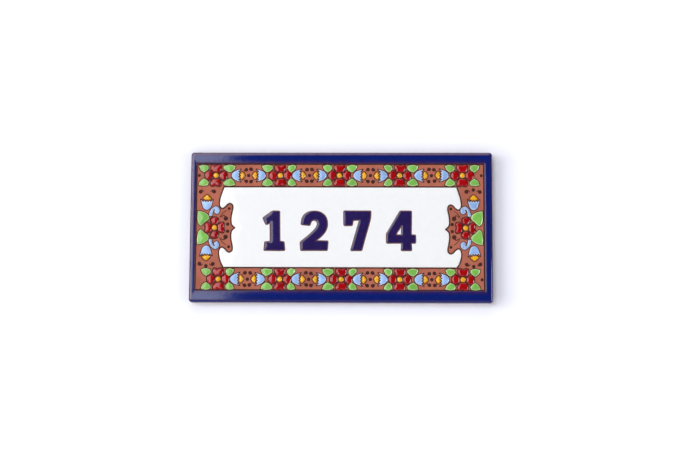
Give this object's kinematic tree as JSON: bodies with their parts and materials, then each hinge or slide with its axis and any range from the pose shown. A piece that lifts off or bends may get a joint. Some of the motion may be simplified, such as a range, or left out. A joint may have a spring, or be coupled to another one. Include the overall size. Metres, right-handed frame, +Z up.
{
  "type": "house sign",
  "caption": "Oblong hand-glazed ceramic tile sign with a raised floral border, a plain frame and a bracket-ended panel for a house number, bedded flat on a wall.",
  "frame": {"origin": "middle of the flat back of the tile, on the wall's surface", "axes": "+Z up the wall, +X to the right as seen from the front, +Y into the wall; the glazed front faces -Y"},
  "size_m": [0.28, 0.0099, 0.14],
  "materials": {
    "glazed_clay": "gloss"
  },
  "bodies": {
    "root": {"sign_tile": "glazed_clay"}
  },
  "joints": []
}
